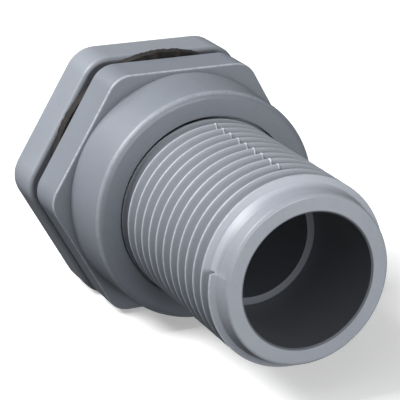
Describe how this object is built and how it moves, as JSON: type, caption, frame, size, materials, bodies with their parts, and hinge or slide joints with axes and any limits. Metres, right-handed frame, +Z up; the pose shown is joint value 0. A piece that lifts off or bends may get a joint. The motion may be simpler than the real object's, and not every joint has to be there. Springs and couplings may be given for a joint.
{
  "type": "flanged conduit gland with locknut",
  "caption": "Hex-headed plastic gland with a left-hand threaded barrel, slip sockets, flat rubber gasket and collared locknut that clamps it in a panel hole.",
  "frame": {"origin": "centre of the head's sealing face, on the barrel's axis", "axes": "+X along the barrel towards its open end, +Z up through the middle of a hex flat"},
  "size_m": [0.0573, 0.044, 0.0399],
  "materials": {
    "body_plastic": "semi-matte moulded grey PVC",
    "nut_plastic": "semi-matte moulded grey PVC, slightly darker",
    "gasket_rubber": "cut black-brown sheet rubber"
  },
  "bodies": {
    "gland": {"gland_body": "body_plastic"},
    "gasket": {"sealing_gasket": "gasket_rubber"},
    "nut": {"locknut": "nut_plastic"}
  },
  "joints": [
    {"name": "nut_travel", "type": "slide", "parent": "gland", "child": "gasket", "axis": [1, 0, 0], "range_m": [0, 0.0525]},
    {"name": "nut_turn", "type": "hinge", "parent": "gasket", "child": "nut", "pos_m": [0, 0, 0], "axis": [1, 0, 0], "range_deg": [-7560, 0]}
  ],
  "couplings": [
    {"joint": "nut_travel", "follows": "nut_turn", "m_per_rad": -0.00039789}
  ]
}
